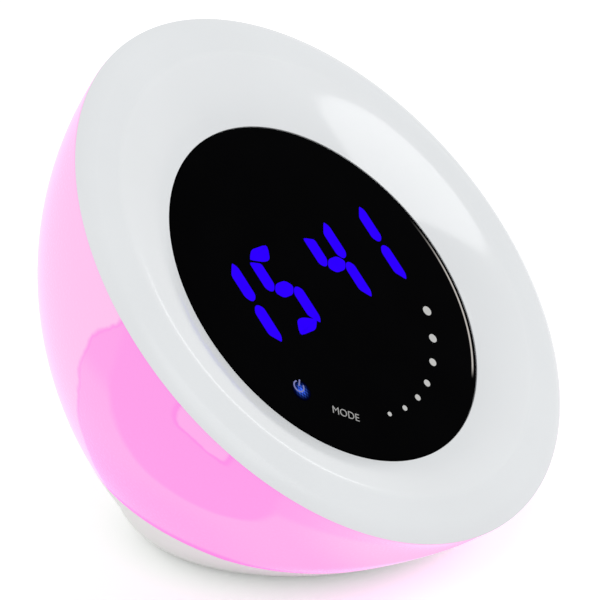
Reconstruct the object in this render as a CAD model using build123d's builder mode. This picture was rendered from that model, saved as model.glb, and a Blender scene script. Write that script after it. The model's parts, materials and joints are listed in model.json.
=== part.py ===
"""Mood lamp alarm clock: a translucent bowl with a tilted round clock face, standing on a base cap.

Millimetres, +Z up. The origin is on the table, under the middle of the outline.
The face looks towards -Y and upwards, and X = 0 is the plane of symmetry.
"""

import os
from math import cos, radians, sin, sqrt

from build123d import *

# Face and bowl
face_radius = 65.0
face_tilt = 42.7
chin_gap = 2.5
chin_run = 4.6
dome_wall = 2.4
dome_back_share = 1.2646
dome_flange = 1.2
dome_flange_share = 0.1211
bowl_ring_count = 7

# Base cap
seam_share = 0.6861
seam_lead_share = 0.0835
foot_share = 0.7377
foot_setback_share = 0.0572
foot_lift = 0.6
base_belly = 1.0
base_wall = 2.8
base_floor = 2.0
base_flange = 1.2
lip_rise = 1.0
lip_wall = 1.8
foot_edge_round = 0.5
lap_tilt = 14.2
lap_lead_share = 0.263
lap_skin = 1.2

# Bezel ring
crest_inset = 9.6
crest_height = 1.8
shoulder_inset = 4.5
shoulder_height = 1.7
rim_groove = 0.4
plug_depth = 3.4
plug_gap = 1.0
dish_sag = 0.5
collar_wall = 4.4
ledge_width = 3.1
ledge_thickness = 1.4

# Lens and display stack
lens_share = 0.6385
lens_drop = 2.8
lens_recess = 3.2
lens_thickness = 2.8
lens_bevel = 0.5
tape_thickness = 0.2
touch_thickness = 0.8
housing_depth = 6.0
housing_margin = 1.3
board_thickness = 1.6

# Digits, on the lens centre
digit_pitch_share = 0.3446
digit_gap_share = 0.5012
digit_width_share = 0.188
digit_rise_share = 0.2253
digit_lift_share = 0.0964
stroke_share = 0.0458
stroke_gap = 0.25
segment_depth = 1.2
led_length = 2.0
led_width = 1.25
led_height = 0.8

# Power mark on the lens, and its light pipe
icon_radius = 3.0
icon_reach_share = 0.7181
icon_bearing = 213.0
icon_led_size = 2.8
icon_led_height = 1.9

# Display chassis and its screws
chassis_wall = 2.0
chassis_floor = 1.6
ear_thickness = 2.0
ear_radius = 3.4
ear_stand = 5.6
ear_count = 4
boss_radius = 3.2
boss_depth = 6.0

# Screws
screw_radius = 1.3
screw_head_radius = 2.4
screw_head_height = 1.6
screw_bite = 4.5
board_screw_radius = 1.0
board_screw_head_radius = 1.9
board_screw_head_height = 1.3
board_screw_bite = 3.5
drive_length = 2.6
drive_width = 0.6
drive_depth = 0.8

# Light tray, colour light ring
tray_margin = 2.0
tray_thickness = 1.6
tray_gap = 0.4
tray_boss_share = 0.0912
ring_inner_share = 0.3363
ring_outer_share = 0.583
ring_thickness = 1.2
colour_led_size = 5.0
colour_led_height = 1.6
colour_led_count = 8
ring_screw_count = 2
ring_screw_bearing = 67.5

# Rubber feet, on the base screws
pad_share = 0.152
pad_pocket = 1.0
pad_margin_share = 0.1033
pad_count = 4
post_share = 0.1216
post_seat = 2.2

# Backup cell and its twist door
cell_share = 0.2242
cell_height = 3.2
cell_edge = 0.3
well_gap = 0.6
door_margin = 0.6
door_lug_reach = 1.6
door_lug_thickness = 1.0
lug_width_share = 0.6
notch_slack = 0.6
door_turn = 45.0
door_slot_share = 1.3
door_slot_width = 1.6
door_slot_depth = 0.9
well_wall = 1.0
well_roof = 1.2
contact_space = 1.0
contact_thickness = 0.3
contact_width = 4.0
top_tab_share = 0.6

# Speaker
speaker_share = 0.2915
basket_height = 2.0
basket_wall = 1.0
magnet_share = 0.5385
magnet_height = 3.5
cone_thickness = 0.4
cone_rise = 0.9
cone_hub_share = 0.3
gasket_thickness = 0.5
gasket_width = 1.8
cradle_wall = 1.0
cradle_height = 2.2
sound_hole_radius = 0.8
sound_ring_count = 3
sound_ring_share = 0.2462
terminal_radius = 0.6
terminal_spread = 3.0
terminal_reach_share = 0.7692

# Main board and what it carries
main_board_share = 0.9028
main_board_lead_share = 0.0897
board_post_radius = 2.5
front_post_share = 0.4933
rear_post_share = 0.3587
chip_size = 7.0
chip_height = 1.6
chip_side = 3.0
chip_lead_share = 0.3139
capacitor_radius = 2.5
capacitor_height = 5.6
capacitor_side_share = 0.213
capacitor_setback_share = 0.4709
crystal_length = 6.0
crystal_radius = 1.5
crystal_side_share = 0.2018
connector_length = 12.0
connector_width = 4.0
connector_height = 4.2
connector_setback_share = 0.1345
header_length = 8.0
header_width = 2.5

# Ribbon cable
ribbon_width = 10.0
ribbon_thickness = 0.8
ribbon_bend = 8.0
display_connector_share = 0.2892

# Power inlet
jack_width = 8.0
jack_height = 5.2
jack_length = 10.6
jack_nose_radius = 2.6
jack_nose_length = 3.2
jack_bore_radius = 1.75
jack_bore_depth = 9.0
jack_pin_radius = 0.65
jack_pin_length = 7.0
jack_leg_length = 5.0
jack_board_gap = 0.6

# Fits
running_fit = 0.05
slip_fit = 0.1
easy_fit = 0.2
free_fit = 0.4


# Sizes that follow from the face, the seam and the lens
seam_radius = face_radius * seam_share
seam_lead = face_radius * seam_lead_share
dome_back_radius = face_radius * dome_back_share
dome_flange_width = seam_radius * dome_flange_share
foot_radius = seam_radius * foot_share
foot_setback = seam_radius * foot_setback_share
lap_lead = seam_radius * lap_lead_share
crest_radius = face_radius - crest_inset
shoulder_radius = face_radius - shoulder_inset
lens_radius = face_radius * lens_share
digit_pitch = lens_radius * digit_pitch_share
digit_gap = lens_radius * digit_gap_share
digit_width = lens_radius * digit_width_share
digit_rise = lens_radius * digit_rise_share
digit_lift = lens_radius * digit_lift_share
stroke = lens_radius * stroke_share
icon_reach = lens_radius * icon_reach_share
display_connector_drop = lens_radius * display_connector_share
tray_boss_radius = foot_radius * tray_boss_share
pad_radius = foot_radius * pad_share
post_radius = foot_radius * post_share
ring_inner = seam_radius * ring_inner_share
ring_outer = seam_radius * ring_outer_share
cell_radius = seam_radius * cell_share
lug_width = cell_radius * lug_width_share
speaker_radius = seam_radius * speaker_share
speaker_offset = speaker_radius + easy_fit + cradle_wall
magnet_radius = speaker_radius * magnet_share
terminal_reach = speaker_radius * terminal_reach_share
main_board_lead = seam_radius * main_board_lead_share
front_post_lead = seam_radius * front_post_share
rear_post_setback = seam_radius * rear_post_share
chip_lead = seam_radius * chip_lead_share
capacitor_side = seam_radius * capacitor_side_share
capacitor_setback = seam_radius * capacitor_setback_share
crystal_side = seam_radius * crystal_side_share
connector_setback = seam_radius * connector_setback_share

# Heights in the base, from the floor up to the seam
floor_top = foot_lift + base_floor
lug_base = floor_top + slip_fit
door_top = lug_base + door_lug_thickness
cell_base = door_top + slip_fit
cell_top = cell_base + cell_height
well_roof_base = cell_top + contact_space
board_base = well_roof_base + well_roof
board_top = board_base + board_thickness
seam_height = board_top + tray_gap - dome_flange
jack_top = board_base - jack_board_gap
jack_axis_height = jack_top - jack_height / 2

# Places that follow from the sizes
hinge_y = -seam_lead - seam_radius - chin_run
face_lead = -hinge_y - (face_radius + chin_gap) * sin(radians(face_tilt))
face_height = seam_height + (face_radius + chin_gap) * cos(radians(face_tilt))
face_normal = Vector(0, -cos(radians(face_tilt)), sin(radians(face_tilt)))
face_up = Vector(0, sin(radians(face_tilt)), cos(radians(face_tilt)))
face_centre = Vector(0, -face_lead, face_height)
face_axis = Axis(face_centre, face_normal)
face_section = Plane(face_centre, x_dir=(1, 0, 0), z_dir=-face_up)
lens_centre = face_centre - face_up * lens_drop

plug_radius = face_radius - dome_wall - plug_gap
seat_radius = lens_radius + slip_fit
lens_back = lens_recess + lens_thickness
ledge_depth = lens_back + tape_thickness
collar_depth = ledge_depth + ledge_thickness
collar_radius = lens_radius + collar_wall
opening_radius = lens_radius - ledge_width
stack_radius = opening_radius - easy_fit
touch_depth = ledge_depth
board_front = touch_depth + housing_depth
board_back = board_front + board_thickness
chassis_inner = opening_radius + chassis_wall
ear_reach = chassis_inner + chassis_wall + ear_stand
ear_depth = plug_depth + boss_depth
chassis_back = board_back + chassis_floor

door_radius = cell_radius + door_margin
door_hole_radius = door_radius + slip_fit
lug_radius = door_radius + door_lug_reach
notch_width = lug_width + notch_slack
well_radius = lug_radius + easy_fit + well_wall
cell_offset = well_radius + well_gap

side_contact_reach = cell_radius + slip_fit + contact_thickness / 2
top_tab_reach = -cell_radius * top_tab_share
housing_width = digit_gap + 2 * digit_pitch + digit_width + stroke + 2 * housing_margin
housing_height = 2 * digit_rise + stroke + 2 * housing_margin
dish_middle = Plane(
    (face_centre + lens_centre) * (1 / 2) - face_normal * ((lens_recess - crest_height) / 2 + dish_sag),
    x_dir=(1, 0, 0),
    z_dir=face_normal,
)

flange_inner = seam_radius - dome_wall / 2 - dome_flange_width
lip_radius = flange_inner - easy_fit
lip_inner = lip_radius - lip_wall
main_board_radius = lip_inner * main_board_share
flange_base = seam_height - base_flange
flange_top = seam_height + dome_flange
seam_plane = Plane((0, -seam_lead, seam_height))
lap_plane = Plane(
    (0, -lap_lead, seam_height),
    x_dir=(1, 0, 0),
    z_dir=(0, -sin(radians(lap_tilt)), cos(radians(lap_tilt))),
)
tray_radius = flange_inner + tray_margin
tray_top = flange_top + tray_thickness
ring_top = tray_top + ring_thickness
pad_reach = foot_radius * (1 - pad_share - pad_margin_share)
pad_top = foot_lift + pad_pocket
head_seat = pad_top + screw_head_height
post_top = head_seat + post_seat
screw_hole_radius = screw_radius + easy_fit
gasket_top = floor_top + gasket_thickness
basket_top = gasket_top + basket_height
cone_radius = speaker_radius - basket_wall - slip_fit
cone_hub = cone_radius * cone_hub_share
ring_middle = (ring_inner + ring_outer) / 2
board_post_places = [(0, -front_post_lead), (0, rear_post_setback)]
pad_bearing = 360 / pad_count / 2
ear_bearing = 360 / ear_count / 2
bowl_shares = [step / (bowl_ring_count - 1) for step in range(bowl_ring_count)]
base_heights = (foot_lift, (foot_lift + seam_height) / 2, seam_height)


def face_at(depth):
    """Plane parallel to the face, a depth behind the rim plane, on the face axis."""
    return Plane(face_centre - face_normal * depth, x_dir=(1, 0, 0), z_dir=face_normal)


def lens_at(depth):
    """Plane parallel to the face, a depth behind the rim plane, on the lens centre."""
    return Plane(lens_centre - face_normal * depth, x_dir=(1, 0, 0), z_dir=face_normal)


def level(height):
    """Horizontal plane at a height above the table."""
    return Plane.XY.offset(height)


def bowl_ring(share, inset):
    """One ring of the bowl: its plane swings from the face down to the base seam."""
    swing = radians((90 - face_tilt) * (1 - share))
    along = Vector(0, cos(swing), sin(swing))
    hinge = Vector(0, hinge_y, seam_height)
    near = chin_gap + (chin_run - chin_gap) * share
    top = face_centre + face_up * face_radius
    back = Vector(0, seam_radius - seam_lead, seam_height)
    chord = back - top
    inward = Vector(0, chord.Z, -chord.Y).normalized()
    arc_centre = (top + back) * (1 / 2) + inward * sqrt(dome_back_radius**2 - (chord.length / 2) ** 2)
    arm = hinge - arc_centre
    reach = arm.dot(along)
    far = -reach + sqrt(reach**2 - arm.length**2 + dome_back_radius**2)
    plane = Plane(hinge + along * ((near + far) / 2), x_dir=(1, 0, 0), z_dir=(0, -along.Z, along.Y))
    return plane, (far - near) / 2 - inset


def base_ring(height, inset):
    """One ring of the base cap, from the foot edge up to the seam."""
    share = (height - foot_lift) / (seam_height - foot_lift)
    belly = base_belly * 4 * share * (1 - share)
    radius = foot_radius + (seam_radius - foot_radius) * share + belly
    lead = (seam_lead + foot_setback) * share - foot_setback
    return Plane((0, -lead, height)), radius - inset


def finish(part, name):
    """Label a finished piece and write it under its own name."""
    part.label = name
    export_step(part, f"parts/{name}.step")


def segment_points(length, inset):
    """A leaf-shaped display segment along X, pointed at both ends."""
    half = length / 2 - inset
    thick = stroke / 2 - inset
    return [(-half, 0), (-half + thick, thick), (half - thick, thick), (half, 0),
            (half - thick, -thick), (-half + thick, -thick)]


def segment_places():
    """Centre, turn and length of each of the seven segments of the four digits."""
    across = digit_width - 2 * stroke_gap
    upright = digit_rise - 2 * stroke_gap
    half = digit_width / 2
    places = []
    inner = digit_gap / 2
    for centre in (-inner - digit_pitch, -inner, inner, inner + digit_pitch):
        for rise in (digit_rise, 0, -digit_rise):
            places.append((centre, digit_lift + rise, 0, across))
        for side in (-half, half):
            for rise in (digit_rise / 2, -digit_rise / 2):
                places.append((centre + side, digit_lift + rise, 90, upright))
    return places


jack_wall_plane, jack_wall_radius = base_ring(jack_axis_height - jack_height / 2, base_wall)
jack_face = Plane(
    (0, jack_wall_plane.origin.Y + jack_wall_radius - free_fit, jack_axis_height),
    x_dir=(-1, 0, 0),
    z_dir=(0, 1, 0),
)
jack_rear = jack_face.origin.Y - jack_length

ribbon_start = lens_centre - face_up * display_connector_drop - face_normal * (board_back + connector_height)
ribbon_run = (connector_setback - ribbon_start.Y) / -face_normal.Y
ribbon_corner = ribbon_start - face_normal * ribbon_run
ribbon_end = Vector(0, connector_setback, board_top + connector_height)

os.makedirs("parts", exist_ok=True)


# Bezel ring: a dished ring with a plug for the bowl's mouth, a lens seat and screw bosses
with BuildPart() as face_bezel:
    with BuildSketch(face_section):
        with BuildLine():
            Polyline(
                (0, crest_height),
                (0, -plug_depth),
                (plug_radius, -plug_depth),
                (plug_radius, 0),
                (face_radius - rim_groove, 0),
                (face_radius, rim_groove),
            )
            TangentArc(
                (shoulder_radius, shoulder_height),
                (face_radius, rim_groove),
                tangent=(shoulder_radius - crest_radius, shoulder_height - crest_height),
            )
            Polyline((shoulder_radius, shoulder_height), (crest_radius, crest_height), (0, crest_height))
        make_face()
    revolve(axis=face_axis)
    with BuildSketch(lens_at(collar_depth)):
        Circle(collar_radius)
    extrude(amount=collar_depth - plug_depth)
    with BuildSketch(lens_at(ear_depth)):
        with PolarLocations(ear_reach, ear_count, ear_bearing):
            Circle(boss_radius)
    extrude(amount=ear_depth - plug_depth)
    with BuildSketch(face_at(-crest_height)):
        Circle(crest_radius)
    with BuildSketch(dish_middle):
        Circle((crest_radius + seat_radius) / 2)
    with BuildSketch(lens_at(lens_recess)):
        Circle(seat_radius)
    loft(mode=Mode.SUBTRACT)
    with BuildSketch(lens_at(ledge_depth)):
        Circle(seat_radius)
    extrude(amount=ledge_depth - lens_recess, mode=Mode.SUBTRACT)
    with BuildSketch(lens_at(collar_depth)):
        Circle(opening_radius)
    extrude(amount=collar_depth - lens_recess, mode=Mode.SUBTRACT)
    with BuildSketch(lens_at(ear_depth)):
        with PolarLocations(ear_reach, ear_count, ear_bearing):
            Circle(screw_radius + running_fit)
    extrude(amount=screw_bite + easy_fit, mode=Mode.SUBTRACT)
finish(face_bezel.part, "face_bezel")

# Lens: dark round window with a bevelled edge, on a ring of tape
with BuildPart() as display_lens:
    with BuildSketch(lens_at(lens_back)):
        Circle(lens_radius)
    extrude(amount=lens_thickness)
    chamfer(display_lens.faces().sort_by(face_axis)[-1].edges(), lens_bevel)
finish(display_lens.part, "display_lens")

with BuildPart() as lens_tape:
    with BuildSketch(lens_at(ledge_depth)):
        Circle(lens_radius)
        Circle(opening_radius, mode=Mode.SUBTRACT)
    extrude(amount=tape_thickness)
finish(lens_tape.part, "lens_tape")

# Mask film behind the lens: a window for each segment and for the power mark
with BuildPart() as display_mask:
    with BuildSketch(lens_at(touch_depth)):
        Circle(stack_radius)
        for x, y, turn, length in segment_places():
            with Locations(Location((x, y, 0), (0, 0, turn))):
                Polygon(*segment_points(length, 0), align=None, mode=Mode.SUBTRACT)
        with PolarLocations(icon_reach, 1, icon_bearing):
            Circle(icon_radius, mode=Mode.SUBTRACT)
    extrude(amount=tape_thickness)
finish(display_mask.part, "display_mask")

# Touch board, open where the digit housing and the light pipe pass
with BuildPart() as touch_board:
    with BuildSketch(lens_at(touch_depth + touch_thickness)):
        Circle(stack_radius)
        with Locations((0, digit_lift)):
            Rectangle(housing_width + 2 * easy_fit, housing_height + 2 * easy_fit, mode=Mode.SUBTRACT)
        with PolarLocations(icon_reach, 1, icon_bearing):
            Circle(icon_radius + easy_fit, mode=Mode.SUBTRACT)
    extrude(amount=touch_thickness)
finish(touch_board.part, "touch_board")

# Digit housing: one block with a light well for every segment
with BuildPart() as digit_housing:
    with BuildSketch(lens_at(board_front)):
        with Locations((0, digit_lift)):
            Rectangle(housing_width, housing_height)
        for x, y, turn, length in segment_places():
            with Locations(Location((x, y, 0), (0, 0, turn))):
                Polygon(*segment_points(length, 0), align=None, mode=Mode.SUBTRACT)
    extrude(amount=housing_depth)
finish(digit_housing.part, "digit_housing")

# Segment diffusers in the mouths of the wells, and a light at the bottom of each
with BuildPart() as digit_segments:
    with BuildSketch(lens_at(touch_depth + segment_depth)):
        for x, y, turn, length in segment_places():
            with Locations(Location((x, y, 0), (0, 0, turn))):
                Polygon(*segment_points(length, running_fit), align=None)
    extrude(amount=segment_depth)
finish(digit_segments.part, "digit_segments")

with BuildPart() as digit_lights:
    with BuildSketch(lens_at(board_front)):
        for x, y, turn, length in segment_places():
            with Locations(Location((x, y, 0), (0, 0, turn))):
                Rectangle(led_length, led_width)
    extrude(amount=led_height)
finish(digit_lights.part, "digit_lights")

# Power mark: a small light on the display board and a clear pipe up to the mask
with BuildPart() as icon_light:
    with BuildSketch(lens_at(board_front)):
        with PolarLocations(icon_reach, 1, icon_bearing):
            Rectangle(icon_led_size, icon_led_size)
    extrude(amount=icon_led_height)
finish(icon_light.part, "icon_light")

with BuildPart() as icon_light_pipe:
    with BuildSketch(lens_at(board_front - icon_led_height)):
        with PolarLocations(icon_reach, 1, icon_bearing):
            Circle(icon_radius)
    extrude(amount=board_front - icon_led_height - touch_depth)
finish(icon_light_pipe.part, "icon_light_pipe")

# Display board in the chassis cup
with BuildPart() as display_board:
    with BuildSketch(lens_at(board_back)):
        Circle(chassis_inner - easy_fit)
    extrude(amount=board_thickness)
finish(display_board.part, "display_board")

with BuildPart() as display_chassis:
    with BuildSketch(lens_at(chassis_back)):
        Circle(chassis_inner + chassis_wall)
    extrude(amount=chassis_back - collar_depth)
    with BuildSketch(lens_at(ear_depth + ear_thickness)):
        with PolarLocations(ear_reach, ear_count, ear_bearing):
            Circle(ear_radius)
        with PolarLocations((ear_reach + chassis_inner) / 2, ear_count, ear_bearing):
            Rectangle(ear_reach - chassis_inner, 2 * ear_radius)
    extrude(amount=ear_thickness)
    with BuildSketch(lens_at(board_back)):
        Circle(chassis_inner)
    extrude(amount=board_back - collar_depth, mode=Mode.SUBTRACT)
    with BuildSketch(lens_at(ear_depth + ear_thickness)):
        with PolarLocations(ear_reach, ear_count, ear_bearing):
            Circle(screw_hole_radius)
    extrude(amount=ear_thickness, mode=Mode.SUBTRACT)
    with BuildSketch(lens_at(chassis_back)):
        with Locations((0, -display_connector_drop)):
            Rectangle(connector_length + 2 * free_fit, connector_width + 2 * free_fit)
    extrude(amount=chassis_floor, mode=Mode.SUBTRACT)
finish(display_chassis.part, "display_chassis")

with BuildPart() as chassis_screws:
    with BuildSketch(lens_at(ear_depth + ear_thickness + screw_head_height)):
        with PolarLocations(ear_reach, ear_count, ear_bearing):
            Circle(screw_head_radius)
    extrude(amount=screw_head_height)
    with BuildSketch(lens_at(ear_depth + ear_thickness)):
        with PolarLocations(ear_reach, ear_count, ear_bearing):
            Circle(screw_radius)
    extrude(amount=ear_thickness + screw_bite)
    with BuildSketch(lens_at(ear_depth + ear_thickness + screw_head_height)):
        with PolarLocations(ear_reach, ear_count, ear_bearing):
            Rectangle(drive_length, drive_width)
            Rectangle(drive_width, drive_length)
    extrude(amount=drive_depth, mode=Mode.SUBTRACT)
finish(chassis_screws.part, "chassis_screws")

with BuildPart() as display_connector:
    with BuildSketch(lens_at(board_back + connector_height)):
        with Locations((0, -display_connector_drop)):
            Rectangle(connector_length, connector_width)
    extrude(amount=connector_height)
finish(display_connector.part, "display_connector")

# Lap between bowl and base: the seam that shows slopes down to the front,
# so the bowl has a thin skirt over the base in front and the base a thin apron over the bowl behind
with BuildPart() as front_skirt:
    for height in base_heights:
        ring_plane, ring_radius = base_ring(height, 0)
        with BuildSketch(ring_plane):
            with BuildLine():
                ThreePointArc((0, -ring_radius), (ring_radius, 0), (0, ring_radius))
                ThreePointArc((0, ring_radius), (-ring_radius, 0), (0, -ring_radius))
            make_face()
    loft()
    for height in base_heights:
        ring_plane, ring_radius = base_ring(height, lap_skin)
        with BuildSketch(ring_plane):
            with BuildLine():
                ThreePointArc((0, -ring_radius), (ring_radius, 0), (0, ring_radius))
                ThreePointArc((0, ring_radius), (-ring_radius, 0), (0, -ring_radius))
            make_face()
    loft(mode=Mode.SUBTRACT)
    split(bisect_by=lap_plane, keep=Keep.TOP)

with BuildPart() as back_apron:
    for share in bowl_shares:
        ring_plane, ring_radius = bowl_ring(share, 0)
        with BuildSketch(ring_plane):
            with BuildLine():
                ThreePointArc((0, -ring_radius), (ring_radius, 0), (0, ring_radius))
                ThreePointArc((0, ring_radius), (-ring_radius, 0), (0, -ring_radius))
            make_face()
    loft()
    for share in bowl_shares:
        ring_plane, ring_radius = bowl_ring(share, lap_skin)
        with BuildSketch(ring_plane):
            with BuildLine():
                ThreePointArc((0, -ring_radius), (ring_radius, 0), (0, ring_radius))
                ThreePointArc((0, ring_radius), (-ring_radius, 0), (0, -ring_radius))
            make_face()
    loft(mode=Mode.SUBTRACT)
    split(bisect_by=lap_plane, keep=Keep.BOTTOM)

# Bowl: a translucent shell from the round face down to the round seam, with a flange at its foot
with BuildPart() as dome_diffuser:
    for share in bowl_shares:
        ring_plane, ring_radius = bowl_ring(share, 0)
        with BuildSketch(ring_plane):
            with BuildLine():
                ThreePointArc((0, -ring_radius), (ring_radius, 0), (0, ring_radius))
                ThreePointArc((0, ring_radius), (-ring_radius, 0), (0, -ring_radius))
            make_face()
    loft()
    for share in bowl_shares:
        ring_plane, ring_radius = bowl_ring(share, dome_wall)
        with BuildSketch(ring_plane):
            with BuildLine():
                ThreePointArc((0, -ring_radius), (ring_radius, 0), (0, ring_radius))
                ThreePointArc((0, ring_radius), (-ring_radius, 0), (0, -ring_radius))
            make_face()
    loft(mode=Mode.SUBTRACT)
    with BuildSketch(seam_plane):
        Circle(seam_radius - dome_wall / 2)
        Circle(flange_inner, mode=Mode.SUBTRACT)
    extrude(amount=dome_flange)
    add(back_apron.part, mode=Mode.SUBTRACT)
    add(front_skirt.part)
finish(dome_diffuser.part, "dome_diffuser")

# Base cap: the pale cup under the bowl, with everything that is moulded in it
with BuildPart() as base_cap:
    for height in base_heights:
        ring_plane, ring_radius = base_ring(height, 0)
        with BuildSketch(ring_plane):
            with BuildLine():
                ThreePointArc((0, -ring_radius), (ring_radius, 0), (0, ring_radius))
                ThreePointArc((0, ring_radius), (-ring_radius, 0), (0, -ring_radius))
            make_face()
    loft()
    fillet(base_cap.faces().sort_by(Axis.Z)[0].edges(), foot_edge_round)
    for height in (floor_top, (floor_top + flange_base) / 2, flange_base):
        ring_plane, ring_radius = base_ring(height, base_wall)
        with BuildSketch(ring_plane):
            with BuildLine():
                ThreePointArc((0, -ring_radius), (ring_radius, 0), (0, ring_radius))
                ThreePointArc((0, ring_radius), (-ring_radius, 0), (0, -ring_radius))
            make_face()
    loft(mode=Mode.SUBTRACT)
    with BuildSketch(seam_plane):
        Circle(lip_inner)
    extrude(amount=-base_flange, mode=Mode.SUBTRACT)
    with BuildSketch(seam_plane):
        Circle(lip_radius)
        Circle(lip_inner, mode=Mode.SUBTRACT)
    extrude(amount=lip_rise)
    add(front_skirt.part, mode=Mode.SUBTRACT)
    add(back_apron.part)
    with BuildSketch(level(floor_top)):
        with PolarLocations(pad_reach, pad_count, pad_bearing):
            Circle(post_radius)
    extrude(amount=post_top - floor_top)
    with BuildSketch(level(floor_top)):
        with Locations(*board_post_places):
            Circle(board_post_radius)
        with Locations((cell_offset, 0)):
            Circle(well_radius)
    extrude(amount=board_base - floor_top)
    with BuildSketch(level(floor_top)):
        with Locations((-speaker_offset, 0)):
            Circle(speaker_radius + easy_fit + cradle_wall)
            Circle(speaker_radius + easy_fit, mode=Mode.SUBTRACT)
    extrude(amount=cradle_height)
    # pockets for the rubber feet, and the screws behind them
    with BuildSketch(level(foot_lift)):
        with PolarLocations(pad_reach, pad_count, pad_bearing):
            Circle(pad_radius + slip_fit)
    extrude(amount=pad_pocket, mode=Mode.SUBTRACT)
    with BuildSketch(level(pad_top)):
        with PolarLocations(pad_reach, pad_count, pad_bearing):
            Circle(screw_head_radius + easy_fit)
    extrude(amount=screw_head_height, mode=Mode.SUBTRACT)
    with BuildSketch(level(head_seat)):
        with PolarLocations(pad_reach, pad_count, pad_bearing):
            Circle(screw_hole_radius)
    extrude(amount=post_seat, mode=Mode.SUBTRACT)
    # battery well: door hole with its two notches, room for the lugs, the cell's chamber
    with BuildSketch(level(foot_lift)):
        with Locations((cell_offset, 0)):
            Circle(lug_radius + slip_fit)
            Rectangle(2 * well_radius, notch_width, rotation=door_turn, mode=Mode.INTERSECT)
            Circle(door_hole_radius)
    extrude(amount=base_floor, mode=Mode.SUBTRACT)
    with BuildSketch(level(floor_top)):
        with Locations((cell_offset, 0)):
            Circle(lug_radius + easy_fit)
    extrude(amount=cell_base - floor_top, mode=Mode.SUBTRACT)
    with BuildSketch(level(cell_base)):
        with Locations((cell_offset, 0)):
            Circle(cell_radius + easy_fit)
    extrude(amount=well_roof_base - cell_base, mode=Mode.SUBTRACT)
    with BuildSketch(level(cell_base)):
        with Locations((cell_offset, side_contact_reach)):
            Rectangle(contact_width + 2 * slip_fit, contact_thickness + 2 * slip_fit)
        with Locations((cell_offset, top_tab_reach)):
            Rectangle(contact_width + 2 * slip_fit, contact_thickness + 2 * slip_fit)
    extrude(amount=board_base - cell_base, mode=Mode.SUBTRACT)
    # sound holes under the speaker
    with BuildSketch(level(foot_lift)):
        with Locations((-speaker_offset, 0)):
            Circle(sound_hole_radius)
        for ring in range(1, sound_ring_count + 1):
            for hole in range(ring * 6):
                with Locations((-speaker_offset, 0)):
                    with PolarLocations(ring * speaker_radius * sound_ring_share, 1, 60 * hole / ring):
                        Circle(sound_hole_radius)
    extrude(amount=base_floor, mode=Mode.SUBTRACT)
    # inlet hole in the rear wall, pilot holes in the board posts
    with BuildSketch(jack_face):
        Circle(jack_nose_radius + easy_fit)
    extrude(amount=base_wall * 2 + jack_nose_length, mode=Mode.SUBTRACT)
    with BuildSketch(level(board_base)):
        with Locations(*board_post_places):
            Circle(board_screw_radius + running_fit)
    extrude(amount=-board_screw_bite, mode=Mode.SUBTRACT)
finish(base_cap.part, "base_cap")

# Rubber feet in their pockets, and the base screws behind them
with BuildPart() as rubber_feet:
    with BuildSketch(level(0)):
        with PolarLocations(pad_reach, pad_count, pad_bearing):
            Circle(pad_radius)
    extrude(amount=pad_top)
    chamfer(rubber_feet.faces().filter_by(Axis.Z).group_by(Axis.Z)[0].edges(), foot_lift / 2)
finish(rubber_feet.part, "rubber_feet")

with BuildPart() as base_screws:
    with BuildSketch(level(pad_top)):
        with PolarLocations(pad_reach, pad_count, pad_bearing):
            Circle(screw_head_radius)
    extrude(amount=screw_head_height)
    with BuildSketch(level(head_seat)):
        with PolarLocations(pad_reach, pad_count, pad_bearing):
            Circle(screw_radius)
    extrude(amount=post_seat + screw_bite)
    with BuildSketch(level(pad_top)):
        with PolarLocations(pad_reach, pad_count, pad_bearing):
            Rectangle(drive_length, drive_width)
            Rectangle(drive_width, drive_length)
    extrude(amount=drive_depth, mode=Mode.SUBTRACT)
finish(base_screws.part, "base_screws")

# Battery door: a twist disc with two lugs above the floor and a coin slot below
with BuildPart() as battery_door:
    with BuildSketch(level(foot_lift)):
        with Locations((cell_offset, 0)):
            Circle(door_radius)
    extrude(amount=door_top - foot_lift)
    with BuildSketch(level(lug_base)):
        with Locations((cell_offset, 0)):
            Circle(lug_radius)
            Rectangle(2 * well_radius, lug_width, mode=Mode.INTERSECT)
    extrude(amount=door_lug_thickness)
    with BuildSketch(level(foot_lift)):
        with Locations((cell_offset, 0)):
            SlotOverall(cell_radius * door_slot_share, door_slot_width)
    extrude(amount=door_slot_depth, mode=Mode.SUBTRACT)
finish(battery_door.part, "battery_door")

# Backup cell and its two spring contacts
with BuildPart() as backup_cell:
    with BuildSketch(level(cell_base)):
        with Locations((cell_offset, 0)):
            Circle(cell_radius)
    extrude(amount=cell_height)
    chamfer(backup_cell.edges(), cell_edge)
finish(backup_cell.part, "backup_cell")

with BuildPart() as cell_top_contact:
    with BuildSketch(level(cell_top)):
        with Locations((cell_offset, top_tab_reach / 2)):
            Rectangle(contact_width, -top_tab_reach)
    extrude(amount=contact_thickness)
    with BuildSketch(level(cell_top)):
        with Locations((cell_offset, top_tab_reach)):
            Rectangle(contact_width, contact_thickness)
    extrude(amount=board_base - cell_top)
finish(cell_top_contact.part, "cell_top_contact")

with BuildPart() as cell_side_contact:
    with BuildSketch(level(cell_base)):
        with Locations((cell_offset, side_contact_reach)):
            Rectangle(contact_width, contact_thickness)
    extrude(amount=board_base - cell_base)
finish(cell_side_contact.part, "cell_side_contact")

# Speaker, facing down on its gasket
with BuildPart() as speaker_gasket:
    with BuildSketch(level(floor_top)):
        with Locations((-speaker_offset, 0)):
            Circle(speaker_radius)
            Circle(speaker_radius - gasket_width, mode=Mode.SUBTRACT)
    extrude(amount=gasket_thickness)
finish(speaker_gasket.part, "speaker_gasket")

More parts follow.
